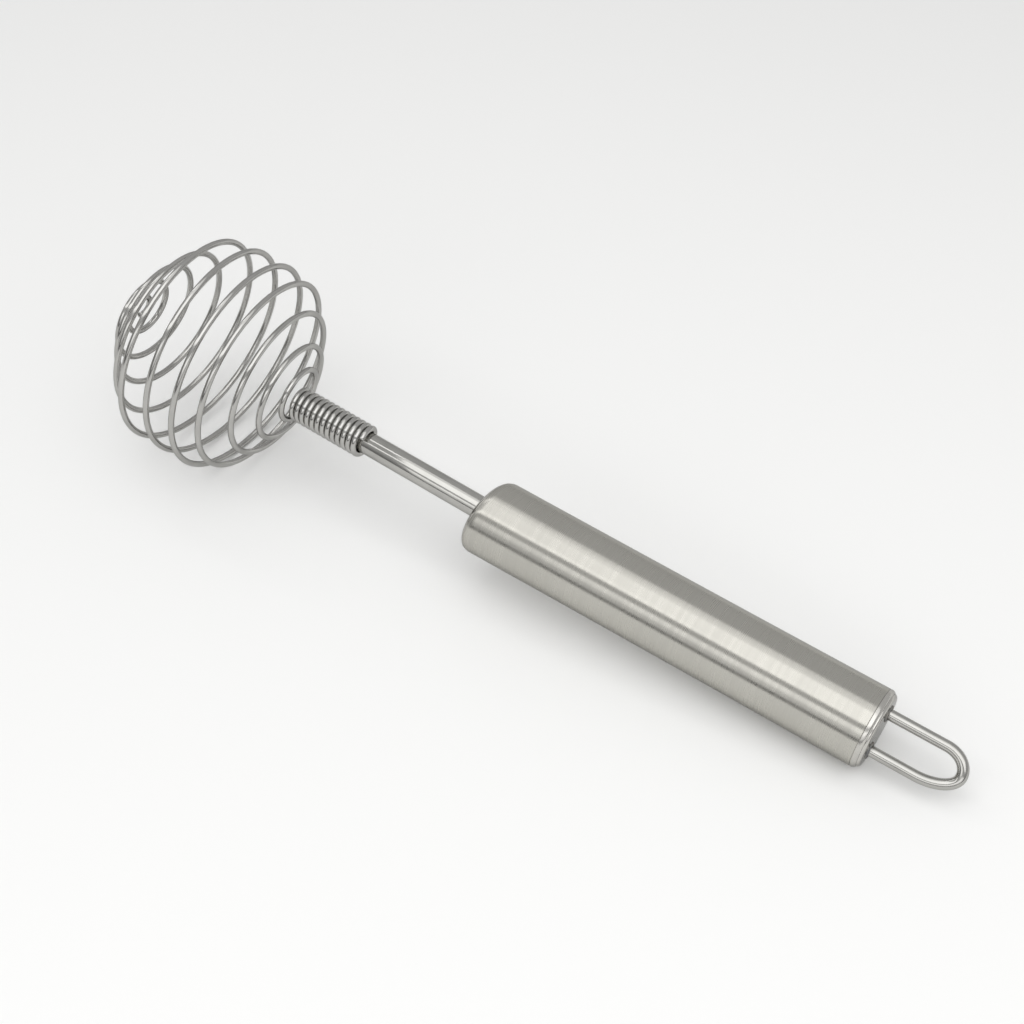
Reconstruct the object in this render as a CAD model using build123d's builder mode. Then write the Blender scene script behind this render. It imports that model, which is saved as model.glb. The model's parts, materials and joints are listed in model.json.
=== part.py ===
"""Ball whisk, lying as it rests on a table.

One spring wire is wound close round a rod, then opens into a spiral on a ball. The rod is
welded into a hollow handle with two end caps, and a bent wire loop hangs the whisk.
Lengths are in millimetres. The handle's own line, its axis, runs from the ball (-) to the
loop (+), and station 0 on it is the front end of the handle tube.
"""
import os
from math import asin, atan2, cos, exp, hypot, pi, radians, sin, sqrt, tan

from build123d import *

os.makedirs("parts", exist_ok=True)

# Stock
spring_wire = 1.6
rod_diameter = 6.0
loop_wire = 2.5
cap_sheet = 1.0
tube_wall = 0.7
fit_clearance = 0.05

# Handle tube: a little thinner at its waist, its front end drawn in to a rounded shoulder
handle_length = 107.0
front_diameter = 20.4
waist_diameter = 20.05
rear_diameter = 20.1
waist_place_share = 0.65
shoulder_length = 3.4
shoulder_rim_diameter = 16.2
mouth_diameter = 14.6

# End caps: pressed cups whose skirts fit in the tube
front_cap_diameter = 16.0
front_cap_depth = 0.6
front_cap_edge = 0.45
rear_cap_depth = 2.2
rear_cap_edge = 1.7
cap_skirt = 6.0

# Rod: a little off the handle's axis, and leaning more so towards the ball
rod_side = 0.66
rod_up = 0.41
rod_lean_side = 0.93
rod_lean_up = 0.44
rod_front = -59.4
rod_tail = 8.0
rod_chamfer = 0.4

# Weld beads
rod_bead = 1.6
loop_bead = 0.8

# Hanging loop
loop_spacing = 9.5
loop_reach = 22.5
loop_tail = 7.0
loop_roll = 45.0

# Neck coil, wound close on the rod
coil_rear = -37.6
coil_turns = 10.4
coil_ease_turns = 0.5

# Ball: an oblate spiral, wound by hand, so its turns are a little uneven.
# The shares give each turn's place from the near to the far pole, and its size.
ball_centre = -86.7
ball_radius = 29.3
ball_half_length = 25.9
ball_turns = 11.25
far_pole_angle = 175.7
turn_place_shares = (0, 0.07, 0.14, 0.23, 0.315, 0.405, 0.51, 0.61, 0.69, 0.77, 0.865, 0.94, 1)
turn_size_shares = (1, 1, 0.99, 1.03, 1.07, 1.015, 0.975, 1.025, 0.985, 0.915, 0.995, 1, 1)
first_turn_phase = 106.0

# The ball hangs a little off the rod's line
lean_up = 4.5
lean_side = 1.2
lean_blend_turns = 0.7

# Steps of the wire's path in a turn
coil_steps_a_turn = 2
ball_steps_a_turn = 4
sample_steps_a_turn = 72
tangent_step_turns = 1e-4

# Worked out from the sizes above
wire_radius = spring_wire / 2
rod_radius = rod_diameter / 2
loop_radius = loop_spacing / 2
coil_radius = rod_radius + fit_clearance + wire_radius
near_angle = asin(coil_radius / ball_radius)
far_angle = radians(far_pole_angle)
coil_start = coil_rear - wire_radius
coil_front = ball_centre + ball_half_length * cos(near_angle)
coil_pitch = (coil_start - coil_front) / (coil_turns + coil_ease_turns)
path_turns = coil_turns + ball_turns
neck = coil_start - coil_pitch * coil_turns

# The rod's own line, in the handle's axes
side_slope = tan(radians(rod_lean_side))
up_slope = tan(radians(rod_lean_up))
rod_line = Plane(
    origin=(0, rod_side, rod_up), x_dir=(1, -side_slope, -up_slope), z_dir=(up_slope, 0, 1)
)


def share_along(shares, part):
    """Smooth value between even shares, level at the first one and straight on at the last."""
    place = part * (len(shares) - 1)
    span = min(int(place), len(shares) - 2)
    rest = place - span
    here, there = shares[span], shares[span + 1]
    before = shares[span - 1] if span else there
    after = shares[span + 2] if span + 2 < len(shares) else 2 * there - here
    leave = (there - before) / 2
    arrive = (after - here) / 2
    bend = 3 * (there - here) - 2 * leave - arrive
    turn = 2 * (here - there) + leave + arrive
    return here + leave * rest + bend * rest**2 + turn * rest**3


def wire_point(turns):
    """Centre of the spring wire on the handle's own axes, so many turns from its cut end."""
    ball = turns - coil_turns
    phase = 2 * pi * ball + radians(first_turn_phase)
    if ball <= 0:
        return rod_line.from_local_coords(
            Vector(coil_start - coil_pitch * turns, coil_radius * sin(phase), coil_radius * cos(phase))
        )
    part = ball / ball_turns
    angle = near_angle + (far_angle - near_angle) * share_along(turn_place_shares, part)
    ease = coil_pitch * coil_ease_turns * (1 - exp(-ball / coil_ease_turns))
    reach = -ease - ball_half_length * (cos(near_angle) - cos(angle))
    off = ball_radius * sin(angle) * share_along(turn_size_shares, part)
    blend = min(ball / lean_blend_turns, 1)
    leant = blend**2 * (3 - 2 * blend)
    point = Vector(reach, off * sin(phase), off * cos(phase))
    point = point.rotate(Axis.Y, lean_up * leant).rotate(Axis.Z, lean_side * leant)
    return rod_line.from_local_coords(point + Vector(neck, 0, 0))


def wire_heading(turns):
    """Unit direction of the spring wire there."""
    before = max(turns - tangent_step_turns, 0)
    after = min(turns + tangent_step_turns, path_turns)
    return (wire_point(after) - wire_point(before)).normalized()


def turn_stops(first, last, steps_a_turn):
    """Even stops along the wire, about so many in a turn."""
    steps = round((last - first) * steps_a_turn)
    return [first + (last - first) * step / steps for step in range(steps + 1)]


def least_self_gap(points, turn_step):
    """Least clear gap between two stretches of the wire that lie over half a turn apart."""
    apart = turn_step // 2
    least = min(
        (points[i] - points[j]).length
        for i in range(len(points))
        for j in range(i + apart, min(len(points), i + 2 * turn_step + 1))
    )
    return least - spring_wire


# Where the whisk touches the table: the ball's lowest turn and the rear cap's rounded edge
samples = [wire_point(stop) for stop in turn_stops(0, path_turns, sample_steps_a_turn)]
edge_centre = Vector(
    handle_length + rear_cap_depth - rear_cap_edge, 0, rear_cap_edge - rear_diameter / 2
)


def table_angle(point):
    """Slope of the line under a place on the wire and under the rear cap's edge."""
    run = edge_centre.X - point.X
    rise = edge_centre.Z - point.Z
    return atan2(rise, run) + asin((wire_radius - rear_cap_edge) / hypot(run, rise))


tilt = max(table_angle(point) for point in samples)
level = [point.X * cos(tilt) + point.Z * sin(tilt) for point in samples]
bend_swing = hypot(cos(tilt), sin(tilt) * cos(radians(loop_roll)))
bend_centre = handle_length + rear_cap_depth + loop_reach - loop_wire / 2 - loop_radius
loop_end = bend_centre * cos(tilt) + loop_radius * bend_swing + loop_wire / 2
middle_x = (min(level) - wire_radius + loop_end) / 2
middle_y = (min(point.Y for point in samples) + max(point.Y for point in samples)) / 2
raise_z = rear_cap_edge + edge_centre.X * sin(tilt) - edge_centre.Z * cos(tilt)

# The handle's own axes, placed so that the table is at height 0 under the middle of the whisk
lying = Plane(
    origin=(-middle_x, -middle_y, raise_z),
    x_dir=(cos(tilt), 0, -sin(tilt)),
    z_dir=(sin(tilt), 0, cos(tilt)),
)
rod_lying = Plane(lying.location * rod_line.location)
axis = Axis(lying.origin, lying.x_dir)
rod_axis = Axis(rod_lying.origin, rod_lying.x_dir)


def across(line, station):
    """Plane square to a line at a station, its x up and its normal to the rear."""
    return Plane(
        origin=line.from_local_coords(Vector(station, 0, 0)),
        x_dir=line.z_dir,
        z_dir=line.x_dir,
    )


def cup_profile(face, mouth, outer, edge, bore):
    """Half section of a cap: rounded outer edge, flat floor, skirt into the tube.

    face is the floor's station, mouth the tube end's, and the skirt runs on past the mouth.
    """
    inward = 1 if mouth > face else -1
    skirt = bore - fit_clearance
    inside = skirt - cap_sheet
    tail = mouth + inward * cap_skirt
    floor = face + inward * cap_sheet
    Line((face, 0), (face, outer - edge))
    RadiusArc((face, outer - edge), (face + inward * edge, outer), inward * edge)
    Polyline(
        (face + inward * edge, outer),
        (mouth, outer),
        (mouth, skirt),
        (tail, skirt),
        (tail, inside),
        (floor, inside),
        (floor, 0),
        (face, 0),
    )


# Spring: one wire, coil and ball
stops = turn_stops(0, coil_turns, coil_steps_a_turn)
stops += turn_stops(coil_turns, path_turns, ball_steps_a_turn)[1:]
places = [lying.from_local_coords(wire_point(stop)) for stop in stops]
headings = [
    lying.from_local_coords(wire_heading(stop)) - lying.from_local_coords(Vector(0, 0, 0))
    for stop in stops
]

with BuildPart() as whisk_spring:
    with BuildLine() as wire_line:
        lead = Line(places[0] - headings[0] * spring_wire, places[0])
        for here, there, leave, arrive in zip(places, places[1:], headings, headings[1:]):
            chord = there - here
            both = leave + arrive
            slack = 2 * (1 - leave.dot(arrive))
            reach = chord.dot(both)
            arm = (sqrt(reach**2 + slack * chord.dot(chord)) - reach) / slack
            first_corner = here + leave * arm
            second_corner = there - arrive * arm
            joint = (first_corner + second_corner) * 0.5
            TangentArc(here, joint, tangent=leave)
            TangentArc(joint, there, tangent=second_corner - first_corner)
        tail = Line(places[-1], places[-1] + headings[-1] * spring_wire)
    with BuildSketch(Plane(origin=lead @ 0, z_dir=lead % 0)):
        Circle(wire_radius)
    sweep()
whisk_spring.part.label = "whisk_spring"

wire_length = wire_line.wire().length
wire_section = pi * wire_radius**2
tightest = min(edge.radius for edge in wire_line.edges().filter_by(GeomType.CIRCLE))
print("wire length", round(wire_length, 1), "tightest bend", round(tightest, 2))
print("wire volume over section times length", round(
    whisk_spring.part.volume / (wire_section * wire_length), 5
))
print("least gap of the wire to itself", round(
    least_self_gap(samples, sample_steps_a_turn), 3
))

# Rod, from inside the coil to inside the handle
with BuildPart() as shaft_rod:
    with BuildSketch(across(rod_lying, rod_front)):
        Circle(rod_radius)
    extrude(amount=rod_tail - rod_front)
    chamfer(shaft_rod.edges(), length=rod_chamfer)
shaft_rod.part.label = "shaft_rod"

# Handle tube
waist = handle_length * waist_place_share
with BuildPart() as handle_tube:
    with BuildSketch(lying):
        with BuildLine():
            outside = ThreePointArc(
                (shoulder_length, front_diameter / 2),
                (waist, waist_diameter / 2),
                (handle_length, rear_diameter / 2),
            )
            inside = ThreePointArc(
                (shoulder_length, front_diameter / 2 - tube_wall),
                (waist, waist_diameter / 2 - tube_wall),
                (handle_length, rear_diameter / 2 - tube_wall),
            )
            TangentArc(outside @ 0, (0, shoulder_rim_diameter / 2), tangent=(outside % 0) * -1)
            TangentArc(inside @ 0, (tube_wall, mouth_diameter / 2), tangent=(inside % 0) * -1)
            Polyline(
                (0, shoulder_rim_diameter / 2),
                (0, mouth_diameter / 2),
                (tube_wall, mouth_diameter / 2),
            )
            Line(outside @ 1, inside @ 1)
        make_face()
    revolve(axis=axis)
handle_tube.part.label = "handle_tube"

# Front cap, set in the drawn-in mouth, with a hole for the rod
front_face = -front_cap_depth
with BuildPart() as front_cap:
    with BuildSketch(lying):
        with BuildLine():
            cup_profile(
                front_face, 0, front_cap_diameter / 2, front_cap_edge, mouth_diameter / 2
            )
        make_face()
    revolve(axis=axis)
    with BuildSketch(across(rod_lying, front_face - cap_sheet)):
        Circle(rod_radius + fit_clearance)
    extrude(amount=3 * cap_sheet, mode=Mode.SUBTRACT)
front_cap.part.label = "front_cap"

# Rear cap, with a hole for each leg of the loop
rear_face = handle_length + rear_cap_depth
with BuildPart() as rear_cap:
    with BuildSketch(lying):
        with BuildLine():
            cup_profile(
                rear_face, handle_length, rear_diameter / 2, rear_cap_edge,
                rear_diameter / 2 - tube_wall,
            )
        make_face()
    revolve(axis=axis)
    with BuildSketch(across(lying, rear_face)) as leg_holes:
        with PolarLocations(loop_radius, 2, start_angle=-loop_roll):
            Circle(loop_wire / 2 + fit_clearance)
    extrude(amount=-cap_sheet, mode=Mode.SUBTRACT)
rear_cap.part.label = "rear_cap"

# Hanging loop: two legs and a half-round bend, in a plane rolled about the handle's axis
roll = radians(loop_roll)
loop_plane = Plane(
    origin=lying.from_local_coords(Vector(rear_face, 0, 0)),
    x_dir=lying.x_dir,
    z_dir=lying.z_dir * sin(roll) - lying.y_dir * cos(roll),
)
with BuildPart() as hanging_loop:
    with BuildLine(loop_plane) as loop_line:
        bend = loop_reach - loop_wire / 2 - loop_radius
        near_leg = Line((-loop_tail, loop_radius), (bend, loop_radius))
        ThreePointArc((bend, loop_radius), (bend + loop_radius, 0), (bend, -loop_radius))
        Line((bend, -loop_radius), (-loop_tail, -loop_radius))
    with BuildSketch(Plane(origin=near_leg @ 0, z_dir=near_leg % 0)):
        Circle(loop_wire / 2)
    sweep()
hanging_loop.part.label = "hanging_loop"

# Weld beads: one inside the front cap round the rod, one round each leg of the loop
bead_seat = front_face + cap_sheet
bead_bore = rod_radius + fit_clearance
with BuildPart() as rod_weld:
    with BuildSketch(rod_lying):
        with BuildLine():
            Polyline(
                (bead_seat + rod_bead, bead_bore),
                (front_face, bead_bore),
                (front_face, bead_bore + rod_bead),
                (bead_seat, bead_bore + rod_bead),
            )
            RadiusArc(
                (bead_seat + rod_bead, bead_bore), (bead_seat, bead_bore + rod_bead), rod_bead
            )
        make_face()
    revolve(axis=rod_axis)
    split(bisect_by=across(lying, bead_seat), keep=Keep.TOP)
rod_weld.part.label = "rod_weld"

with BuildPart() as loop_welds:
    for side in (1, -1):
        leg_axis = Axis(loop_plane.from_local_coords(Vector(0, side * loop_radius, 0)), lying.x_dir)
        inner = side * (loop_radius + loop_wire / 2 + fit_clearance)
        with BuildSketch(loop_plane):
            with BuildLine():
                Polyline((loop_bead, inner), (0, inner), (0, inner + side * loop_bead))
                RadiusArc((loop_bead, inner), (0, inner + side * loop_bead), side * loop_bead)
            make_face()
        revolve(axis=leg_axis)
loop_welds.part.label = "loop_welds"

pieces = [
    whisk_spring, shaft_rod, handle_tube, front_cap, rear_cap, hanging_loop, rod_weld, loop_welds,
]
for piece in pieces:
    export_step(piece.part, f"parts/{piece.part.label}.step")
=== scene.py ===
"""Looks of a ball whisk, laid out as a Blender add-on and run as a script.

Lengths are in metres. The handle's own line, its axis, runs from the ball (-) to the hanging
loop (+). Station 0 on it is the front end of the handle tube. "Up" and "side" are measured
square to that line: up is away from the table and side is the frame's +Y.
"""
import json
from math import acos, asin, atan2, cos, pi, radians, sin, tan

import bmesh
import bpy
import numpy as np
from bpy.props import FloatProperty, FloatVectorProperty, PointerProperty
from bpy.types import Operator, Panel, PropertyGroup
from mathutils import Matrix, Vector


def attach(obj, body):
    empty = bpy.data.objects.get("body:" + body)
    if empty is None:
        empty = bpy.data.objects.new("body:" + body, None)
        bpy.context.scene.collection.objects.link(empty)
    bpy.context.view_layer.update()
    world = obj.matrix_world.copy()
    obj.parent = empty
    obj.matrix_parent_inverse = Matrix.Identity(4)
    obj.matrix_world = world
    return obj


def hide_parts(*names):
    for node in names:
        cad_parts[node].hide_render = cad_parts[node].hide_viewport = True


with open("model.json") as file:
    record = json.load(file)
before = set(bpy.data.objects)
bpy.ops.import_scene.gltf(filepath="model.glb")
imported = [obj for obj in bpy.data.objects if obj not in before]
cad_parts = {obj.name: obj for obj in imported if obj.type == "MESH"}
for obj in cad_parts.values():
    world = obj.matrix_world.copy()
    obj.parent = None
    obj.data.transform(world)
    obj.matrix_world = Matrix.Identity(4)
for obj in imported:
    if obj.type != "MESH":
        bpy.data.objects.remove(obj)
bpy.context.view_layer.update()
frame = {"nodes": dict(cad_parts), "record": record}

bl_info = {
    "name": "Ball whisk",
    "version": (1, 0, 0),
    "blender": (4, 5, 0),
    "location": "3D View > Sidebar > Whisk",
    "description": "Builds the visible pieces of a ball whisk around its packed frame",
    "category": "Object",
}

MM = 0.001


def linear(hex_colour):
    """Linear red, green and blue of an sRGB hex colour."""
    levels = [int(hex_colour[i:i + 2], 16) / 255 for i in (1, 3, 5)]
    return tuple(v / 12.92 if v <= 0.04045 else ((v + 0.055) / 1.055) ** 2.4 for v in levels)


def length(name, description, millimetres):
    """A length property, its default given in millimetres."""
    return FloatProperty(
        name=name, description=description, default=millimetres * MM, min=0, unit="LENGTH",
        precision=5,
    )


def station(name, description, millimetres):
    """A place along the handle's axis, its default given in millimetres."""
    return FloatProperty(
        name=name, description=description, default=millimetres * MM, unit="LENGTH", precision=5
    )


def angle(name, description, degrees):
    """An angle property, its default given in degrees."""
    return FloatProperty(
        name=name, description=description, default=radians(degrees), subtype="ANGLE"
    )


def colour(name, description, hex_colour):
    """A colour property, its default given as an sRGB hex colour."""
    return FloatVectorProperty(
        name=name, description=description, default=linear(hex_colour), subtype="COLOR",
        min=0, max=1,
    )


class WhiskSizes(PropertyGroup):
    """Sizes of the whisk's pieces, mostly the frame's own.

    The front end, the loop and the ball's last turns are finer than the frame's.
    """

    spring_wire: length("Spring wire", "Thickness of the ball's wire", 1.6)
    rod_diameter: length("Rod", "Thickness of the rod", 6.0)
    loop_wire: length("Loop wire", "Thickness of the hanging loop's wire", 2.75)
    fit_clearance: length("Fit clearance", "Gap between the rod and what holds it", 0.05)
    tube_wall: length("Tube wall", "Wall of the handle tube", 0.7)
    handle_length: length("Handle length", "Length of the handle tube", 107.0)
    front_diameter: length("Front diameter", "Tube just behind its shoulder", 20.4)
    waist_diameter: length("Waist diameter", "Tube at its thinnest", 20.05)
    rear_diameter: length("Rear diameter", "Tube at the rear cap", 20.1)
    front_round_start: station("Front rounding start", "Station of the rounded end's face", -0.17)
    front_round_length: length("Front rounding length", "Along the handle", 2.74)
    front_round_drop: length("Front rounding drop", "Across the handle", 2.31)
    front_seam: length("Front seam", "Station of the seam of the front cap", 1.0)
    front_cap_depth: length("Front cap depth", "How far its middle stands out of station 0", 0.6)
    cant_side: angle("Cant to the side", "Slope of the front end, forward at -Y", 7.2)
    cant_up: angle("Cant up", "Slope of the front end, forward below", 3.5)
    cant_length: length("Cant length", "How far along the handle that slope fades out", 14)
    cant_clearance: length("Cant clearance", "From the rod to where that slope begins", 1.2)
    rear_cap_depth: length("Rear cap depth", "How far the rear cap stands out of the tube", 2.2)
    rear_cap_skirt: length("Rear cap skirt", "How far the rear cap goes into the tube", 6.0)
    rear_cap_sheet: length("Rear cap sheet", "Thickness of the rear cap's metal", 1.0)
    loop_spacing: length("Loop spacing", "Between the middles of the loop's legs", 9.5)
    loop_reach: length("Loop reach", "From the rear cap's face to the loop's end", 22.5)
    loop_tail: length("Loop tail", "How far the loop's legs go into the rear cap", 7.0)
    rod_side: length("Rod to the side", "Rod's place beside the axis at station 0", 0.66)
    rod_up: length("Rod up", "Rod's place above the axis at station 0", 0.41)
    rod_lean_side: angle("Rod lean to the side", "Towards the ball it drifts this way", 0.93)
    rod_lean_up: angle("Rod lean up", "Towards the ball it rises this way", 0.44)
    rod_front: station("Rod front", "Station of the rod's end in the ball", -59.4)
    rod_tail: station("Rod tail", "Station of the rod's end in the handle", 8.0)
    rod_chamfer: length("Rod chamfer", "Chamfer of the rod's ends", 0.4)
    coil_rear: station("Coil rear", "Station of the neck coil's rear edge", -36.9)
    ball_centre: station("Ball centre", "Station of the ball's middle", -86.7)
    ball_radius: length("Ball radius", "From the rod's line to the widest turn", 29.3)
    ball_half_length: length("Ball half length", "From the ball's middle to a pole", 25.9)
    far_pole_angle: angle("Far pole angle", "Where the wire ends, seen from the middle", 175.7)
    first_turn_angle: angle("First turn", "Where the coil opens, from up towards +Y", 106.0)
    lean_up: angle("Ball lean up", "How far the ball is bent up off the rod's line", 4.5)
    lean_side: angle("Ball lean to the side", "How far it is bent towards -Y", 1.2)
    far_drift: length("Far drift", "How far its last turns lie towards -Y", 1.1)
    loop_bead: length("Loop bead", "Width of the weld round each leg of the loop", 0.8)


class WhiskFinish(PropertyGroup):
    """Colours of the whisk's metals."""

    satin_steel: colour("Satin steel", "Ground handle tube", "#BDBBB4")
    cap_steel: colour("Cap steel", "Pressed end caps", "#C7C5C0")
    bright_steel: colour("Bright steel", "Polished rod and hanging loop", "#B4B3AF")
    spring_steel: colour("Spring steel", "Drawn wire of the ball", "#B7B6B3")
    weld_steel: colour("Weld", "Beads round the loop's legs", "#94928F")


class WhiskStage(PropertyGroup):
    """Floor, light and camera."""

    floor: colour("Floor", "Matt white floor", "#F6F6F5")
    sky: FloatProperty(name="Sky", description="Strength of the even light", default=0.585)
    horizon: FloatProperty(
        name="Horizon", description="Strength of the light low in front", default=0.22
    )
    key_level: FloatProperty(
        name="Overhead panel", description="Brightness of the panel overhead", default=1.33
    )
    fill_level: FloatProperty(
        name="Front panel", description="Brightness of the panel in front", default=1.15
    )
    strip_level: FloatProperty(
        name="Strips", description="Brightness of the two narrow strips", default=1.7
    )
    azimuth: angle("Camera azimuth", "0 looks along +Y", 33.3)
    elevation: angle("Camera elevation", "Above the table", 45.96)
    roll: angle("Camera roll", "Turn about its own line of sight", 0.1)
    distance: length("Camera distance", "To the point that it looks at", 439.0)
    lens: FloatProperty(
        name="Lens", description="Focal length for a 36 mm wide picture", default=59.85
    )


# Turns of the coil and of the ball, and the ball's turns over which the coil's pitch fades
# out and its lean sets in
COIL_TURNS = 13.4
COIL_EASE_TURNS = 0.5
BALL_TURNS = 11.25
LEAN_BLEND_TURNS = 0.7

# Each turn's place from the near to the far pole, and its size; where the far drift sets in
TURN_PLACE_SHARES = (0, 0.07, 0.14, 0.23, 0.315, 0.405, 0.51, 0.61, 0.69, 0.77, 0.865, 0.94, 1)
TURN_SIZE_SHARES = (1, 1, 0.99, 1.03, 1.07, 1.015, 0.98, 1.04, 0.965, 0.875, 0.93, 0.86, 0.85)
DRIFT_START_SHARE = 0.6
DRIFT_LENGTH_SHARE = 0.25

# Where along the handle the tube is thinnest
WAIST_PLACE_SHARE = 0.65

# Points this near each other are one
JOIN_DISTANCE = 1e-7

# Station of the far end of the hanging eye, as the frame has it
EYE_STATION = 129.2 * MM

# Shares of a wire's radius: how far its ends are bevelled, and how soon the bevel turns
BEVEL_SHARE = 0.12
BEVEL_TURN_SHARE = 0.3

# The loop's welds: ripples round a bead, their place, and how flat a bead is
FINE_RIPPLES = 11
BROAD_RIPPLES = 4
BEAD_RISE_SHARE = 0.8

# Lamps: how far off they are, and how high the line is that they face, in metres
LAMP_DISTANCE = 0.75
LAMP_FOOT = 0.015

# Each lamp's ends along X in metres, its long edges in degrees from overhead towards -Y, the
# level of the stage that it takes, and its share of that level
PANEL_ENDS = (-0.27, 1.0)
STRIP_ENDS = (-1.1, -0.27)
LAMPS = {
    "overhead_panel_edge": (PANEL_ENDS, (-20, 0), "key_level", 0.52),
    "overhead_panel": (PANEL_ENDS, (0, 40.5), "key_level", 1),
    "front_panel": (PANEL_ENDS, (54, 68), "fill_level", 1),
    "front_panel_edge": (PANEL_ENDS, (68, 81), "fill_level", 0.6),
    "back_strip": (STRIP_ENDS, (-13, -5), "strip_level", 1),
    "side_strip": (STRIP_ENDS, (30, 38), "strip_level", 0.8),
}

# Even light: the heights and the ways towards -Y between which it dims to the low light
LOW_LIGHT_HEIGHTS = (0.1, 0.6)
LOW_LIGHT_WAYS = (0.1, -0.6)

# Nearest distance that the camera sees, in metres
CLIP_START = 0.01

# Rings of the floor, as shares of its radius
FLOOR_RING_SHARES = (0.02, 0.1, 0.4, 1)

# Reflection of the metals seen edge on, as a share of the usual one
EDGE_TINT = (0.54, 0.54, 0.54, 1)

# Values that a noise, and the sum of two, keeps between almost everywhere
NOISE_SPAN = (0.3, 0.7)
TWO_NOISES_SPAN = (0.7, 1.3)

# Fineness of the surfaces: places round a ring, and rings along a turn or a stretch
ROUND_TUBE = 160
ROUND_ROD = 96
ROUND_FLOOR = 96
ROUND_BEAD = 72
ROUND_LOOP = 36
ROUND_BEAD_SECTION = 24
ROUND_WIRE = 20
COIL_STEPS_A_TURN = 44
BALL_STEPS_A_TURN = 72
TUBE_STEPS = 60
BORE_STEPS = 40
LEG_STEPS = 40
BEND_STEPS = 73


# Places in the frame

eye = frame["record"]["mounts"][0]
tilt = atan2(eye["axis"][0], eye["axis"][2])
loop_roll = acos(-eye["axis"][1])
AXIS = np.array([cos(tilt), 0, -sin(tilt)])
SIDE = np.array([0, 1.0, 0])
UP = np.array([sin(tilt), 0, cos(tilt)])


def station_zero():
    """The frame's place of station 0, found back from the far end of the hanging eye."""
    return np.array(eye["pos_m"]) - AXIS * EYE_STATION


def rod_frame(sizes):
    """Origin and directions of the rod's own line: along it, to the side and up."""
    origin = station_zero() + SIDE * sizes.rod_side + UP * sizes.rod_up
    along = AXIS - SIDE * tan(sizes.rod_lean_side) - UP * tan(sizes.rod_lean_up)
    along /= np.linalg.norm(along)
    up = UP + AXIS * tan(sizes.rod_lean_up)
    up /= np.linalg.norm(up)
    return origin, along, np.cross(up, along), up


# Surfaces


def unit(vectors):
    """The vectors, each made one long."""
    return vectors / np.linalg.norm(vectors, axis=-1, keepdims=True)


def surface(name, points, along, around, close_first=False, close_last=False):
    """A mesh from a grid of points, rings by places on a ring, each ring joined to its start.

    along and around give each grid line's distance in metres, and become the UV map, whose
    seam is where the ring starts. A closed end gets one point in the middle of its ring.
    Seen from outside, with the next ring on the right, a ring's points run downwards.
    """
    rings, sides = points.shape[:2]
    ring = np.arange(rings - 1)[:, None] * sides
    place = np.arange(sides)[None, :]
    turned = (place + 1) % sides
    quads = np.stack(
        [ring + place, ring + turned, ring + sides + turned, ring + sides + place], -1
    ).reshape(-1, 4)
    u = np.broadcast_to(along[:, None], (rings, sides + 1))
    v = np.broadcast_to(around[None, :], (rings, sides + 1))
    uv = np.stack([u, v], -1)
    corner_uv = uv[:-1, :-1], uv[:-1, 1:], uv[1:, 1:], uv[1:, :-1]
    quad_uv = np.stack(corner_uv, 2).reshape(-1, 2)
    faces = [quads.ravel()]
    totals = [np.full(len(quads), 4)]
    loop_uv = [quad_uv]
    vertices = [points.reshape(-1, 3)]
    count = rings * sides
    for row, wanted, order in ((0, close_first, -1), (rings - 1, close_last, 1)):
        if not wanted:
            continue
        vertices.append(points[row].mean(0)[None])
        rim = row * sides + np.arange(sides)
        fan = np.stack([rim, np.roll(rim, -1), np.full(sides, count)], -1)
        faces.append(fan[:, ::order].ravel())
        totals.append(np.full(sides, 3))
        flat = np.zeros((sides, 3, 2))
        flat[:, :, 0] = along[row]
        loop_uv.append(flat.reshape(-1, 2))
        count += 1
    totals = np.concatenate(totals)
    corners = np.concatenate(faces)
    mesh = bpy.data.meshes.new(name)
    mesh.vertices.add(count)
    mesh.vertices.foreach_set("co", np.concatenate(vertices).astype(np.float32).ravel())
    mesh.loops.add(len(corners))
    mesh.loops.foreach_set("vertex_index", corners.astype(np.int32))
    mesh.polygons.add(len(totals))
    starts = np.concatenate([[0], np.cumsum(totals)[:-1]])
    mesh.polygons.foreach_set("loop_start", starts.astype(np.int32))
    mesh.uv_layers.new(name="along_and_around")
    mesh.uv_layers[0].data.foreach_set("uv", np.concatenate(loop_uv).astype(np.float32).ravel())
    mesh.polygons.foreach_set("use_smooth", np.ones(len(totals), dtype=bool))
    mesh.update(calc_edges=True)
    mesh.validate()
    return mesh


def revolved(name, profile, origin, along, side, up, sides=ROUND_TUBE):
    """A surface of revolution: each (station, radius) of the profile swung round a line.

    A point is origin + station * along + radius * (side * sin a - up * cos a), so its seam
    lies underneath.
    """
    turn = np.linspace(0, 2 * pi, sides, endpoint=False)
    spoke = np.cos(turn)[:, None] * -up + np.sin(turn)[:, None] * side
    points = (
        origin
        + profile[:, 0, None, None] * along
        + profile[:, 1, None, None] * spoke[None]
    )
    steps = np.linalg.norm(np.diff(profile, axis=0), axis=1)
    distance = np.concatenate([[0], np.cumsum(steps)])
    around = np.linspace(0, 2 * pi, sides + 1) * profile[:, 1].max()
    closed = profile[0, 1] > 0, profile[-1, 1] > 0
    return surface(name, points, distance, around, *closed)


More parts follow.
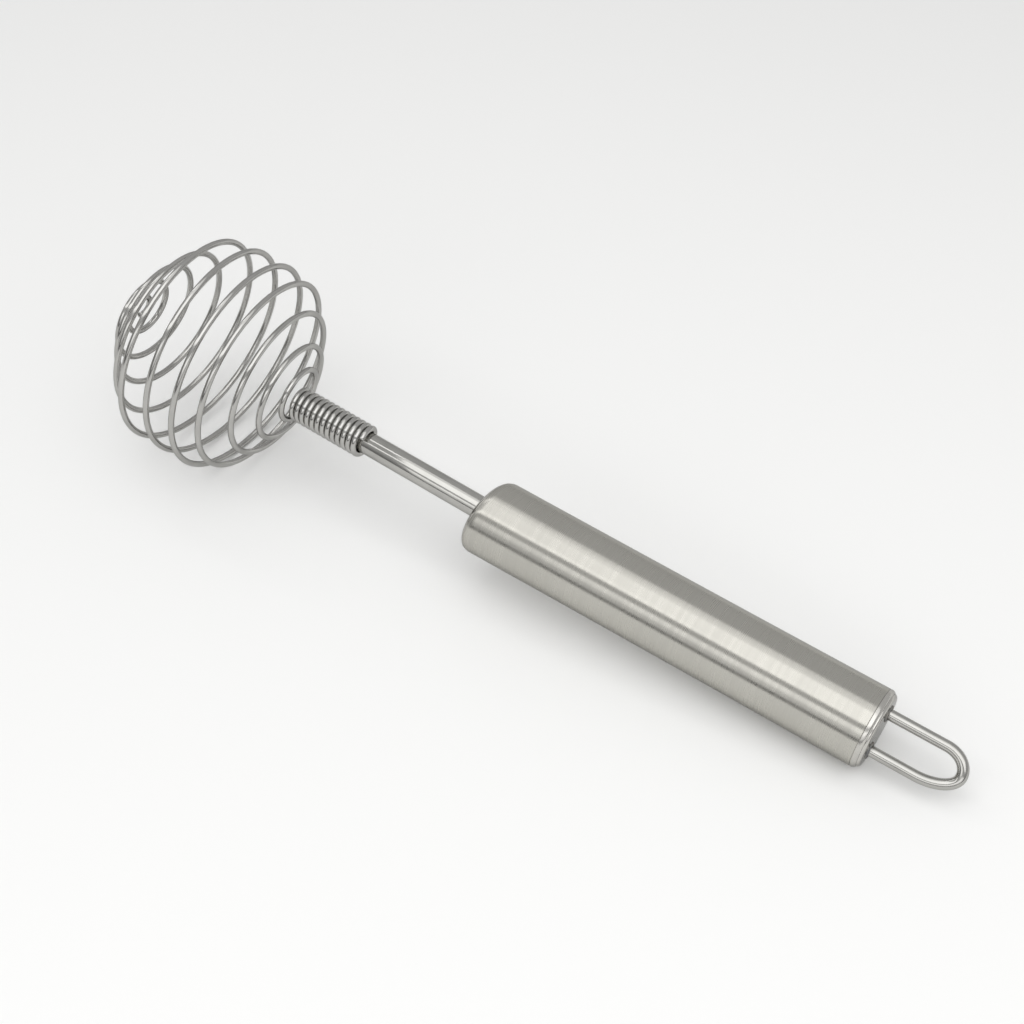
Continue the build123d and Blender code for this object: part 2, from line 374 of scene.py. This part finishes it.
def swept(name, path, outward, radius, sides=ROUND_WIRE):
    """A round wire: a circle square to a path, carried along it, with bevelled ends.

    A point is path + radius * (outward * cos a + across * sin a), where across is square to
    the path and to outward. The ends step in by a share of the radius.
    """
    heading = unit(np.gradient(path, axis=0))
    out = unit(outward - heading * (outward * heading).sum(1, keepdims=True))
    across = np.cross(heading, out)
    inset = radius * BEVEL_SHARE
    rise = np.array([0, inset / 2, inset])
    width = np.array([radius - inset, radius - inset * BEVEL_TURN_SHARE, radius])
    centres = np.concatenate([
        path[0] + heading[0] * rise[:, None],
        path[1:-1],
        path[-1] - heading[-1] * rise[::-1, None],
    ])
    out = np.concatenate([np.repeat(out[:1], 3, 0), out[1:-1], np.repeat(out[-1:], 3, 0)])
    across = np.concatenate([
        np.repeat(across[:1], 3, 0), across[1:-1], np.repeat(across[-1:], 3, 0)
    ])
    radii = np.concatenate([width, np.full(len(path) - 2, radius), width[::-1]])
    turn = np.linspace(0, 2 * pi, sides, endpoint=False)[None, :, None]
    points = centres[:, None] + radii[:, None, None] * (
        out[:, None] * np.cos(turn) + across[:, None] * np.sin(turn)
    )
    steps = np.linalg.norm(np.diff(centres, axis=0), axis=1)
    distance = np.concatenate([[0], np.cumsum(steps)])
    around = np.linspace(0, 2 * pi, sides + 1) * radius
    return surface(name, points, distance, around, True, True)


def arc(centre, radius, start, end, steps):
    """Points of an arc in the profile's plane, angle 0 outwards and a quarter turn rearwards."""
    turn = np.linspace(start, end, steps)
    return np.stack([centre[0] + radius * np.sin(turn), centre[1] + radius * np.cos(turn)], -1)


# Materials


def add_node(tree, kind, inputs=None, **settings):
    """Adds a node with its settings, and sets each input to a value or joins it to a socket."""
    node = tree.nodes.new(kind)
    for key, value in settings.items():
        setattr(node, key, value)
    for key, value in (inputs or {}).items():
        if isinstance(value, bpy.types.NodeSocket):
            tree.links.new(value, node.inputs[key])
        else:
            node.inputs[key].default_value = value
    return node


def new_material(name):
    """A material with no nodes yet, and its node tree."""
    material = bpy.data.materials.new(name)
    material.use_nodes = True
    material.node_tree.nodes.clear()
    return material, material.node_tree


def pattern(tree, source, sizes, detail):
    """Noise whose patches have these sizes along the source's own directions, in metres."""
    scaled = add_node(
        tree, "ShaderNodeMapping", {"Vector": source, "Scale": [1 / size for size in sizes]}
    )
    noise = add_node(
        tree, "ShaderNodeTexNoise", {"Vector": scaled.outputs[0], "Scale": 1.0, "Detail": detail}
    )
    return noise.outputs["Fac"]


def shaded(base, level):
    """A colour made darker or lighter."""
    return (*[min(c * level, 1) for c in base], 1)


def blended(tree, noise, first, second, most=1.0):
    """The first colour, going over to the second by up to a share as a noise rises."""
    part = add_node(tree, "ShaderNodeMapRange", {
        "Value": noise, "From Min": NOISE_SPAN[0], "From Max": NOISE_SPAN[1], "To Max": most,
    })
    node = add_node(
        tree, "ShaderNodeMix", {0: part.outputs[0], 6: first, 7: second}, data_type="RGBA"
    )
    return node.outputs[2]


def metal(tree, tone, wear, relief, span=NOISE_SPAN, more=None):
    """Gives the material a metal's shader.

    wear is a noise and the roughness at either end of its span. relief is a noise, how
    strongly it shows and its depth in metres.
    """
    noise, smooth, rough = wear
    height, strength, depth = relief
    roughness = add_node(tree, "ShaderNodeMapRange", {
        "Value": noise, "From Min": span[0], "From Max": span[1], "To Min": smooth,
        "To Max": rough,
    })
    bump = add_node(tree, "ShaderNodeBump", {
        "Height": height, "Strength": strength, "Distance": depth,
    })
    shader = add_node(tree, "ShaderNodeBsdfPrincipled", {
        "Base Color": tone, "Metallic": 1.0, "Specular Tint": EDGE_TINT,
        "Roughness": roughness.outputs[0], "Normal": bump.outputs[0], **(more or {}),
    })
    add_node(tree, "ShaderNodeOutputMaterial", {0: shader.outputs[0]})


def ground_steel(base):
    """Stainless steel tube, ground round its girth with a belt.

    The eye gets broad bands of light along the tube, drawn out along it and sharp across it,
    and a fine grain round it. Real grit leaves lines of about 0.05 mm; they are drawn at
    0.22 mm, the finest that shows.
    """
    material, tree = new_material("satin_steel_tube")
    place = add_node(tree, "ShaderNodeTexCoord").outputs["UV"]
    fine = pattern(tree, place, (0.22 * MM, 9 * MM, 1), 3)
    broad = pattern(tree, place, (1.4 * MM, 30 * MM, 1), 2)
    patches = pattern(tree, place, [14 * MM] * 3, 2)
    grain = add_node(tree, "ShaderNodeMath", {0: fine, 1: broad}, operation="ADD").outputs[0]
    tone = blended(tree, fine, shaded(base, 0.94), shaded(base, 1.05))
    tone = blended(tree, patches, tone, shaded(base, 0.9), 0.35)
    tangent = add_node(tree, "ShaderNodeTangent", direction_type="UV_MAP").outputs[0]
    metal(
        tree, tone, (grain, 0.24, 0.34), (grain, 0.12, 0.01 * MM), span=TWO_NOISES_SPAN,
        more={"Anisotropic": 0.95, "Tangent": tangent},
    )
    return material


def pressed_steel(name, base, roughness):
    """Stainless steel sheet, pressed to a cap and buffed.

    The eye gets small clear highlights on the rounded edge, and faint buffing marks that are
    0.3 mm wide and 6 mm long.
    """
    material, tree = new_material(name)
    place = add_node(tree, "ShaderNodeTexCoord").outputs["UV"]
    marks = pattern(tree, place, (0.3 * MM, 6 * MM, 1), 3)
    patches = pattern(tree, place, [5 * MM] * 3, 2)
    tone = blended(tree, patches, shaded(base, 0.93), shaded(base, 1.03))
    wear = (marks, roughness * 0.85, roughness * 1.2)
    metal(tree, tone, wear, (marks, 0.08, 0.01 * MM))
    return material


def drawn_wire(name, base, roughness):
    """Stainless steel wire, drawn through a die and polished.

    The eye gets thin bright and dark lines along it. The die leaves lines along the wire,
    drawn here 0.25 mm wide and 20 mm long.
    """
    material, tree = new_material(name)
    place = add_node(tree, "ShaderNodeTexCoord").outputs["UV"]
    lines = pattern(tree, place, (20 * MM, 0.25 * MM, 1), 3)
    patches = pattern(tree, place, [6 * MM] * 3, 2)
    tone = blended(tree, patches, shaded(base, 0.93), shaded(base, 1.04))
    wear = (patches, roughness * 0.8, roughness * 1.25)
    metal(tree, tone, wear, (lines, 0.05, 0.01 * MM))
    return material


def weld_metal(name, base):
    """Weld bead, left as it set.

    The eye gets a dull dark metal with a faint straw and blue heat tint and a rough skin of
    0.4 mm grains.
    """
    material, tree = new_material(name)
    place = add_node(tree, "ShaderNodeTexCoord").outputs["Object"]
    skin = pattern(tree, place, [0.4 * MM] * 3, 4)
    tint = pattern(tree, place, [1.5 * MM] * 3, 2)
    straw = [level * part for level, part in zip(base, (1.03, 1.0, 0.94))]
    blue = [level * part for level, part in zip(base, (0.72, 0.76, 0.82))]
    tone = blended(tree, tint, (*straw, 1), (*blue, 1))
    metal(tree, tone, (skin, 0.4, 0.6), (skin, 0.5, 0.08 * MM))
    return material


def matt_floor(base):
    """Matt painted board: even and pale, with no gloss."""
    material, tree = new_material("matt_white_floor")
    shader = add_node(tree, "ShaderNodeBsdfPrincipled", {
        "Base Color": (*base, 1), "Roughness": 1.0, "Specular IOR Level": 0.0,
    })
    add_node(tree, "ShaderNodeOutputMaterial", {0: shader.outputs[0]})
    return material


# Pieces


def place_piece(mesh, name, material, node):
    """Puts a finished mesh in the scene in place of a node of the frame."""
    mesh.materials.append(material)
    piece = bpy.data.objects.new(name, mesh)
    bpy.context.scene.collection.objects.link(piece)
    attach(piece, "root")
    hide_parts(node)
    return piece


def finish_node(node, material):
    """Gives a node of the frame its material."""
    piece = frame["nodes"][node]
    if not piece.material_slots:
        raise RuntimeError(f"{node} has no material slot")
    for material_slot in piece.material_slots:
        material_slot.link = "OBJECT"
        material_slot.material = material


def share_along(shares, part):
    """Smooth values between even shares, level at the first one and straight on at the last."""
    known = np.array([shares[1], *shares, 2 * shares[-1] - shares[-2]], float)
    place = part * (len(shares) - 1)
    span = np.clip(np.floor(place).astype(int), 0, len(shares) - 2)
    rest = place - span
    before, here, there, after = (known[span + step] for step in range(4))
    leave = (there - before) / 2
    arrive = (after - here) / 2
    bend = 3 * (there - here) - 2 * leave - arrive
    turn = 2 * (here - there) + leave + arrive
    return here + leave * rest + bend * rest**2 + turn * rest**3


def spring_path(sizes):
    """Middle line of the spring wire and the way out from the rod's line at each point.

    The coil is a helix: its reach along the rod is its pitch times the turns. The ball is a
    spiral on an oblate ball: at each share of its turns a point has an angle p from the near
    pole, its reach is the half length times cos p, and its way off the line is the radius
    times sin p and the turn's size share. Its first turn also eases out of the coil's pitch.
    The far turns drift towards -Y, and the whole ball is bent off the rod's line about the
    coil's front end.
    """
    wire = sizes.spring_wire / 2
    coil_radius = sizes.rod_diameter / 2 + sizes.fit_clearance + wire
    near = asin(coil_radius / sizes.ball_radius)
    start = sizes.coil_rear - wire
    front = sizes.ball_centre + sizes.ball_half_length * cos(near)
    pitch = (start - front) / (COIL_TURNS + COIL_EASE_TURNS)
    neck = start - pitch * COIL_TURNS
    coil = np.linspace(-COIL_TURNS, 0, round(COIL_TURNS * COIL_STEPS_A_TURN))[:-1]
    ball = np.linspace(0, BALL_TURNS, round(BALL_TURNS * BALL_STEPS_A_TURN))
    turns = np.concatenate([coil, ball])
    phase = 2 * pi * turns + sizes.first_turn_angle
    opened = np.maximum(turns, 0)
    polar = near + (sizes.far_pole_angle - near) * share_along(
        TURN_PLACE_SHARES, opened / BALL_TURNS
    )
    ease = pitch * COIL_EASE_TURNS * (1 - np.exp(-opened / COIL_EASE_TURNS))
    reach = -ease - sizes.ball_half_length * (cos(near) - np.cos(polar))
    reach = np.where(turns > 0, reach, -pitch * turns)
    off = sizes.ball_radius * np.sin(polar) * share_along(
        TURN_SIZE_SHARES, opened / BALL_TURNS
    )
    off = np.where(turns > 0, off, coil_radius)
    blend = np.minimum(opened / LEAN_BLEND_TURNS, 1)
    leant = blend**2 * (3 - 2 * blend)
    late = np.clip((opened / BALL_TURNS - DRIFT_START_SHARE) / DRIFT_LENGTH_SHARE, 0, 1)
    drift = sizes.far_drift * late**2 * (3 - 2 * late)
    points = np.stack([reach, off * np.sin(phase) - drift, off * np.cos(phase)], -1)
    spokes = np.stack([0 * off, np.sin(phase), np.cos(phase)], -1)
    upward, sideways = sizes.lean_up * leant, sizes.lean_side * leant

    def bent(vectors):
        x, y, z = vectors.T
        x, z = x * np.cos(upward) + z * np.sin(upward), z * np.cos(upward) - x * np.sin(upward)
        x, y = (
            x * np.cos(sideways) - y * np.sin(sideways),
            x * np.sin(sideways) + y * np.cos(sideways),
        )
        return np.stack([x, y, z], -1)

    origin, along, side, up = rod_frame(sizes)
    turned = np.stack([along, side, up])
    return origin + (bent(points) + [neck, 0, 0]) @ turned, bent(spokes) @ turned


class WHISK_OT_spring(Operator):
    """Make the spring wire: a coil wound tight on the rod, opening into the ball"""

    bl_idname = "whisk.spring"
    bl_label = "Spring wire"

    def execute(self, context):
        sizes, finish = context.scene.whisk_sizes, context.scene.whisk_finish
        path, outward = spring_path(sizes)
        mesh = swept("spring_wire_wound", path, outward, sizes.spring_wire / 2)
        material = drawn_wire("drawn_spring_wire", finish.spring_steel, 0.13)
        place_piece(mesh, "spring_wire_wound", material, "whisk_spring")
        return {"FINISHED"}


class WHISK_OT_rod(Operator):
    """Make the polished rod"""

    bl_idname = "whisk.rod"
    bl_label = "Rod"

    def execute(self, context):
        sizes, finish = context.scene.whisk_sizes, context.scene.whisk_finish
        origin, along, side, up = rod_frame(sizes)
        radius, bevel = sizes.rod_diameter / 2, sizes.rod_chamfer
        profile = np.array([
            (sizes.rod_front, radius - bevel),
            (sizes.rod_front + bevel, radius),
            (sizes.rod_tail - bevel, radius),
            (sizes.rod_tail, radius - bevel),
        ])
        mesh = revolved("polished_rod", profile, origin, along, side, up, ROUND_ROD)
        material = drawn_wire("polished_steel_rod", finish.bright_steel, 0.14)
        place_piece(mesh, "polished_rod", material, "shaft_rod")
        return {"FINISHED"}


def tube_radius(sizes, places):
    """Outside of the tube: a shallow curve through its front, waist and rear."""
    known = (
        (sizes.front_round_length, sizes.front_diameter / 2),
        (sizes.handle_length * WAIST_PLACE_SHARE, sizes.waist_diameter / 2),
        (sizes.handle_length, sizes.rear_diameter / 2),
    )
    stations, radii = zip(*known)
    return np.polyval(np.polyfit(stations, radii, 2), places)


class WHISK_OT_tube(Operator):
    """Make the handle tube with the start of its rounded front end"""

    bl_idname = "whisk.tube"
    bl_label = "Handle tube"

    edge: length("Edge", "Rounding of the tube's edges at its caps", 0.12)
    front_bore: length("Front bore", "Radius inside the rounded front end", 9.0)
    front_bore_depth: length("Front bore depth", "How far that goes in", 2.5)

    def execute(self, context):
        sizes, finish = context.scene.whisk_sizes, context.scene.whisk_finish
        wall, edge, seam = sizes.tube_wall, self.edge, seam_angle(sizes)
        shoulder = front_round(sizes, seam, 0, steps=20)
        start = shoulder[0] - [0, edge]
        places = np.linspace(shoulder[-1, 0], sizes.handle_length - edge, TUBE_STEPS)[1:]
        body = np.stack([places, tube_radius(sizes, places)], -1)
        rear = sizes.rear_diameter / 2
        rim = arc((sizes.handle_length - edge, rear - edge), edge, 0, pi / 2, steps=6)[1:]
        back = np.linspace(sizes.handle_length, start[0], BORE_STEPS)
        narrowed = np.where(back < self.front_bore_depth, self.front_bore, rear)
        inner = np.stack([back, np.minimum(tube_radius(sizes, back) - wall, narrowed)], -1)
        first = shoulder[0] + [edge / 2, 0]
        profile = np.concatenate([start[None], first[None], shoulder[1:], body, rim, inner])
        profile = np.concatenate([profile, profile[:1]])
        mesh = ring_shell("ground_handle_tube", profile, sizes)
        material = ground_steel(finish.satin_steel)
        place_piece(mesh, "ground_handle_tube", material, "handle_tube")
        return {"FINISHED"}


def front_round(sizes, start, end, steps):
    """Quarter ellipse of the handle's front end, from one angle on it to another.

    The station is start + length * (1 - sin a), the radius is the tube's less drop *
    (1 - cos a): angle 0 is on the tube, a quarter turn on the face.
    """
    turn = np.linspace(start, end, steps)
    reach, drop = sizes.front_round_length, sizes.front_round_drop
    places = sizes.front_round_start + reach * (1 - np.sin(turn))
    return np.stack([places, sizes.front_diameter / 2 - drop * (1 - np.cos(turn))], -1)


def seam_angle(sizes):
    """Angle on the front end's quarter ellipse where the tube ends and its cap begins."""
    return asin(1 - (sizes.front_seam - sizes.front_round_start) / sizes.front_round_length)


def cant(profile, turn, sizes):
    """How far each point of a ring moves along the axis, because the front end isn't square.

    It is the point's height and side place, each times its slope, fading out along the handle
    and towards the rod.
    """
    fade = np.clip(1 - profile[:, 0] / sizes.cant_length, 0, 1)
    rod = sizes.rod_diameter / 2 + sizes.cant_clearance
    near = np.clip((profile[:, 1] - rod) / rod, 0, 1)
    weight = fade**2 * (3 - 2 * fade) * near**2 * (3 - 2 * near) * profile[:, 1]
    slope = -tan(sizes.cant_up) * np.cos(turn) + tan(sizes.cant_side) * np.sin(turn)
    return weight[:, None] * slope[None]


def ring_shell(name, profile, sizes, bore=0.0):
    """A ring-shaped shell: a closed profile swung round the handle's axis, its front canted.

    Points no further out than the bore go round the rod instead, which lies off the axis.
    """
    sides = ROUND_TUBE
    turn = np.linspace(0, 2 * pi, sides, endpoint=False)
    spoke = np.cos(turn)[:, None] * -UP + np.sin(turn)[:, None] * SIDE
    place = profile[:, 0, None] + cant(profile, turn, sizes)
    points = (
        station_zero() + place[..., None] * AXIS + profile[:, 1, None, None] * spoke[None]
    )
    points[profile[:, 1] <= bore] += SIDE * sizes.rod_side + UP * sizes.rod_up
    steps = np.linalg.norm(np.diff(profile, axis=0), axis=1)
    distance = np.concatenate([[0], np.cumsum(steps)])
    around = np.linspace(0, 2 * pi, sides + 1) * profile[:, 1].max()
    mesh = surface(name, points, distance, around)
    return merged(mesh)


def merged(mesh):
    """Joins the points that lie on each other, where a closed profile meets itself."""
    work = bmesh.new()
    work.from_mesh(mesh)
    bmesh.ops.remove_doubles(work, verts=work.verts, dist=JOIN_DISTANCE)
    work.to_mesh(mesh)
    work.free()
    mesh.update()
    return mesh


class WHISK_OT_caps(Operator):
    """Make the rear cap and the front cap"""

    bl_idname = "whisk.caps"
    bl_label = "End caps"

    edge: length("Edge", "Rounding of the cap's edge at the seam", 0.15)
    rim: length("Rim", "Rounding of the cap's outer rim", 1.1)
    ridge: length("Ridge", "Rounding of the disc set in the cap", 0.95)
    groove: length("Groove", "Depth of the line round that disc", 0.07)
    rim_turn: angle("Rim turn", "How far the outer rim rounds over", 55)
    collar: length("Collar", "Straight part between the seam and the rim", 0.45)
    ridge_inset: length("Ridge inset", "From the rim's rounding in to the disc", 0.42)
    ridge_start: angle("Ridge start", "Where the disc's rounding begins", 6.875)
    flat: length("Flat", "Radius of the front cap's flat middle", 5.2)
    slope: length("Slope", "Radius halfway out from there to its rounded edge", 7.0)

    def rear_cap(self, sizes):
        """A cup: inside, skirt, edge at the seam, rim, groove and raised disc."""
        seam, edge = sizes.handle_length, self.edge
        face = seam + sizes.rear_cap_depth
        outer = sizes.rear_diameter / 2
        skirt = outer - sizes.tube_wall - sizes.fit_clearance
        inside = skirt - sizes.rear_cap_sheet
        tail, floor = seam - sizes.rear_cap_skirt, face - sizes.rear_cap_sheet
        seam_edge = arc((seam + edge, outer - edge), edge, -pi / 2, 0, steps=6)
        rim_centre = (seam + self.collar, outer - self.rim)
        rim = arc(rim_centre, self.rim, 0, self.rim_turn, steps=16)
        ridge_centre = (face - self.ridge, outer - self.rim - self.ridge_inset)
        ridge = arc(ridge_centre, self.ridge, self.ridge_start, pi / 2, steps=20)
        profile = np.concatenate([
            [(floor, 0), (floor, inside), (tail, inside), (tail, skirt), (seam, skirt)],
            seam_edge,
            rim,
            [((rim[-1, 0] + ridge[0, 0]) / 2, min(rim[-1, 1], ridge[0, 1]) - self.groove)],
            ridge,
            [(face, 0)],
        ])
        return merged(revolved("pressed_rear_cap", profile, station_zero(), AXIS, SIDE, UP))

    def front_cap(self, sizes):
        """A shallow dish round the rod: face, rounded edge up to the seam, and inside."""
        edge = self.edge / 2
        face, back = -sizes.front_cap_depth, sizes.front_seam - edge
        hole = sizes.rod_diameter / 2 + sizes.fit_clearance
        rear_skirt = sizes.rear_diameter / 2 - sizes.tube_wall - sizes.fit_clearance
        inside = rear_skirt - sizes.rear_cap_sheet
        rounded = front_round(sizes, pi / 2, seam_angle(sizes), steps=24)
        profile = np.concatenate([
            [(face, hole), (face, self.flat), ((face + rounded[0, 0]) / 2, self.slope)],
            rounded[:-1],
            [rounded[-1] - [edge, 0], rounded[-1] - [0, edge * 2]],
            [(back, inside), (back / 2, inside), (back / 2, hole), (face, hole)],
        ])
        return ring_shell("pressed_front_cap", profile, sizes, hole)

    def execute(self, context):
        sizes, finish = context.scene.whisk_sizes, context.scene.whisk_finish
        material = pressed_steel("buffed_rear_cap_steel", finish.cap_steel, 0.2)
        mesh = self.rear_cap(sizes)
        place_piece(mesh, "pressed_rear_cap", material, "rear_cap")
        material = pressed_steel("buffed_front_cap_steel", finish.cap_steel, 0.1)
        mesh = self.front_cap(sizes)
        place_piece(mesh, "pressed_front_cap", material, "front_cap")
        return {"FINISHED"}


def loop_frame(sizes):
    """Middle of the rear face, and the way from there to the upper leg of the loop."""
    face = station_zero() + AXIS * (sizes.handle_length + sizes.rear_cap_depth)
    return face, SIDE * sin(loop_roll) + UP * cos(loop_roll)


class WHISK_OT_loop(Operator):
    """Make the hanging loop: two straight legs and a hand-bent end, longer on its lower side"""

    bl_idname = "whisk.loop"
    bl_label = "Hanging loop"

    short: length("Short", "How far the bend stays inside the loop's reach", 0.45)
    upper_bend: FloatProperty(
        name="Upper bend", description="Its length as a share of half its width", default=1.25
    )
    lower_bend: FloatProperty(
        name="Lower bend", description="Its length as a share of half its width", default=2.0
    )

    def execute(self, context):
        sizes, finish = context.scene.whisk_sizes, context.scene.whisk_finish
        half = sizes.loop_spacing / 2
        tip = sizes.loop_reach - sizes.loop_wire / 2 - self.short
        upper, lower = half * self.upper_bend, half * self.lower_bend
        turn = np.linspace(0, pi, BEND_STEPS)
        bend = np.where(turn < pi / 2, upper, lower)
        first = np.linspace(-sizes.loop_tail, tip - upper, LEG_STEPS)[:-1]
        last = np.linspace(tip - lower, -sizes.loop_tail, LEG_STEPS)[1:]
        along = np.concatenate([first, tip - bend * (1 - np.sin(turn)), last])
        across = np.concatenate([0 * first + half, half * np.cos(turn), 0 * last - half])
        face, out = loop_frame(sizes)
        path = face + along[:, None] * AXIS + across[:, None] * out
        square = np.broadcast_to(np.cross(AXIS, out), path.shape)
        mesh = swept("bent_hanging_loop", path, square, sizes.loop_wire / 2, ROUND_LOOP)
        material = drawn_wire("polished_steel_loop", finish.bright_steel, 0.13)
        place_piece(mesh, "bent_hanging_loop", material, "hanging_loop")
        return {"FINISHED"}


class WHISK_OT_welds(Operator):
    """Make the weld beads round the loop's legs, and finish the one round the rod"""

    bl_idname = "whisk.welds"
    bl_label = "Weld beads"

    ripple: length("Ripple", "Height of the ripples round a bead", 0.06)

    def execute(self, context):
        sizes, finish = context.scene.whisk_sizes, context.scene.whisk_finish
        face, out = loop_frame(sizes)
        square = np.cross(AXIS, out)
        leg, size = sizes.loop_wire / 2, sizes.loop_bead / 2
        swell = np.linspace(0, 2 * pi, ROUND_BEAD_SECTION, endpoint=False)
        turn = np.linspace(0, 2 * pi, ROUND_BEAD, endpoint=False)
        spoke = np.cos(turn)[:, None] * out + np.sin(turn)[:, None] * square
        along = np.linspace(0, 2 * pi, ROUND_BEAD_SECTION + 1) * size
        around = np.linspace(0, 2 * pi, ROUND_BEAD + 1) * leg
        joined = bmesh.new()
        for sign in (1, -1):
            wave = np.sin(FINE_RIPPLES * turn + sign) + np.sin(BROAD_RIPPLES * turn)
            thick = size + self.ripple * wave[None]
            ring = leg + size + thick * np.cos(swell)[:, None]
            rise = thick * BEAD_RISE_SHARE * np.sin(swell)[:, None]
            points = (
                face + out * sign * sizes.loop_spacing / 2
                + rise[:, :, None] * AXIS + ring[:, :, None] * spoke[None]
            )
            points = np.concatenate([points, points[:1]])
            bead = merged(surface("rippled_loop_weld", points, along, around))
            joined.from_mesh(bead)
            bpy.data.meshes.remove(bead)
        mesh = bpy.data.meshes.new("rippled_loop_welds")
        joined.to_mesh(mesh)
        joined.free()
        material = weld_metal("weld_bead_skin", finish.weld_steel)
        place_piece(mesh, "rippled_loop_welds", material, "loop_welds")
        finish_node("rod_weld", weld_metal("rod_weld_skin", finish.weld_steel))
        return {"FINISHED"}


def panel_lamp(name, ends, edges, level):
    """A soft panel along X that faces the handle, its long edges turned about that line."""
    turn, half = radians(sum(edges)) / 2, radians(edges[1] - edges[0]) / 2
    lamp = bpy.data.lights.new(name, "AREA")
    lamp.shape = "RECTANGLE"
    lamp.size, lamp.size_y = ends[1] - ends[0], 2 * LAMP_DISTANCE * tan(half)
    lamp.energy = level * pi * lamp.size * lamp.size_y
    holder = bpy.data.objects.new(name, lamp)
    bpy.context.scene.collection.objects.link(holder)
    place = Vector((
        sum(ends) / 2, -sin(turn) * LAMP_DISTANCE, LAMP_FOOT + cos(turn) * LAMP_DISTANCE
    ))
    holder.matrix_world = Matrix.Translation(place) @ Matrix.Rotation(turn, 4, "X")


def even_light(stage):
    """A world of even light that dims low down towards -Y, so that the metals have a dark side."""
    world = bpy.data.worlds.new("even_studio_light")
    world.use_nodes = True
    tree = world.node_tree
    tree.nodes.clear()
    heading = add_node(tree, "ShaderNodeTexCoord").outputs["Generated"]
    parts = add_node(tree, "ShaderNodeSeparateXYZ", {0: heading}).outputs
    low = add_node(tree, "ShaderNodeMapRange", {
        "Value": parts["Z"], "From Min": LOW_LIGHT_HEIGHTS[0], "From Max": LOW_LIGHT_HEIGHTS[1],
        "To Min": 1.0, "To Max": 0.0,
    }).outputs[0]
    facing = add_node(tree, "ShaderNodeMapRange", {
        "Value": parts["Y"], "From Min": LOW_LIGHT_WAYS[0], "From Max": LOW_LIGHT_WAYS[1],
    }).outputs[0]
    both = add_node(tree, "ShaderNodeMath", {0: low, 1: facing}, operation="MULTIPLY")
    strength = add_node(tree, "ShaderNodeMapRange", {
        "Value": both.outputs[0], "To Min": stage.sky, "To Max": stage.horizon,
    })
    light = add_node(tree, "ShaderNodeBackground", {
        "Color": (1, 1, 1, 1), "Strength": strength.outputs[0],
    })
    add_node(tree, "ShaderNodeOutputWorld", {0: light.outputs[0]})
    return world


def camera_at(stage, aim):
    """The camera, on a line from its aim that is turned and raised by the stage's angles."""
    back = Vector((
        sin(stage.azimuth) * cos(stage.elevation),
        -cos(stage.azimuth) * cos(stage.elevation),
        sin(stage.elevation),
    ))
    camera = bpy.data.cameras.new("camera")
    camera.lens = stage.lens
    camera.clip_start = CLIP_START
    holder = bpy.data.objects.new("camera", camera)
    bpy.context.scene.collection.objects.link(holder)
    turned = (-back).to_track_quat("-Z", "Y").to_matrix().to_4x4()
    place = Matrix.Translation(Vector(aim) + back * stage.distance)
    holder.matrix_world = place @ turned @ Matrix.Rotation(stage.roll, 4, "Z")
    return holder


class WHISK_OT_stage(Operator):
    """Make the floor, the light and the camera"""

    bl_idname = "whisk.stage"
    bl_label = "Floor, light and camera"

    aim: FloatVectorProperty(
        name="Aim", description="Point that the camera looks at", subtype="XYZ", unit="LENGTH",
        default=(-9.25 * MM, 10.47 * MM, 10 * MM),
    )
    floor_radius: length("Floor radius", "Half the floor's width", 4000)

    def execute(self, context):
        scene, stage = context.scene, context.scene.whisk_stage
        turn = np.linspace(0, 2 * pi, ROUND_FLOOR, endpoint=False)
        disc = np.stack([np.cos(turn), -np.sin(turn), 0 * turn], -1) * self.floor_radius
        rings = np.stack([disc * share for share in FLOOR_RING_SHARES])
        mesh = surface(
            "white_floor", rings, np.arange(len(rings)), np.arange(ROUND_FLOOR + 1),
            close_first=True,
        )
        mesh.materials.append(matt_floor(stage.floor))
        floor = bpy.data.objects.new("white_floor", mesh)
        scene.collection.objects.link(floor)
        for name, (ends, edges, level, share) in LAMPS.items():
            panel_lamp(name, ends, edges, getattr(stage, level) * share)
        scene.world = even_light(stage)
        scene.camera = camera_at(stage, self.aim)
        scene.view_settings.view_transform = "Standard"
        return {"FINISHED"}


class WHISK_PT_panel(Panel):
    """Lists what builds the whisk"""

    bl_idname = "WHISK_PT_panel"
    bl_label = "Ball whisk"
    bl_space_type = "VIEW_3D"
    bl_region_type = "UI"
    bl_category = "Whisk"

    def draw(self, context):
        column = self.layout.column(align=True)
        for step in STEPS:
            column.operator(step.bl_idname)
        for group in ("whisk_sizes", "whisk_finish", "whisk_stage"):
            values = getattr(context.scene, group)
            box = self.layout.box()
            for key in values.__annotations__:
                box.prop(values, key)


GROUPS = {"whisk_sizes": WhiskSizes, "whisk_finish": WhiskFinish, "whisk_stage": WhiskStage}
STEPS = (
    WHISK_OT_spring, WHISK_OT_rod, WHISK_OT_tube, WHISK_OT_caps, WHISK_OT_loop, WHISK_OT_welds,
    WHISK_OT_stage,
)


def register():
    """Registers every class and hangs the settings on the scene."""
    for kind in (*GROUPS.values(), *STEPS, WHISK_PT_panel):
        bpy.utils.register_class(kind)
    for key, kind in GROUPS.items():
        setattr(bpy.types.Scene, key, PointerProperty(type=kind))


def unregister():
    """Takes the settings and the classes away again."""
    for key in GROUPS:
        delattr(bpy.types.Scene, key)
    for kind in (WHISK_PT_panel, *reversed(STEPS), *reversed(GROUPS.values())):
        bpy.utils.unregister_class(kind)


def main():
    """Builds every piece and the stage."""
    register()
    for step in STEPS:
        group, name = step.bl_idname.split(".")
        getattr(getattr(bpy.ops, group), name)()


if __name__ == "__main__":
    main()
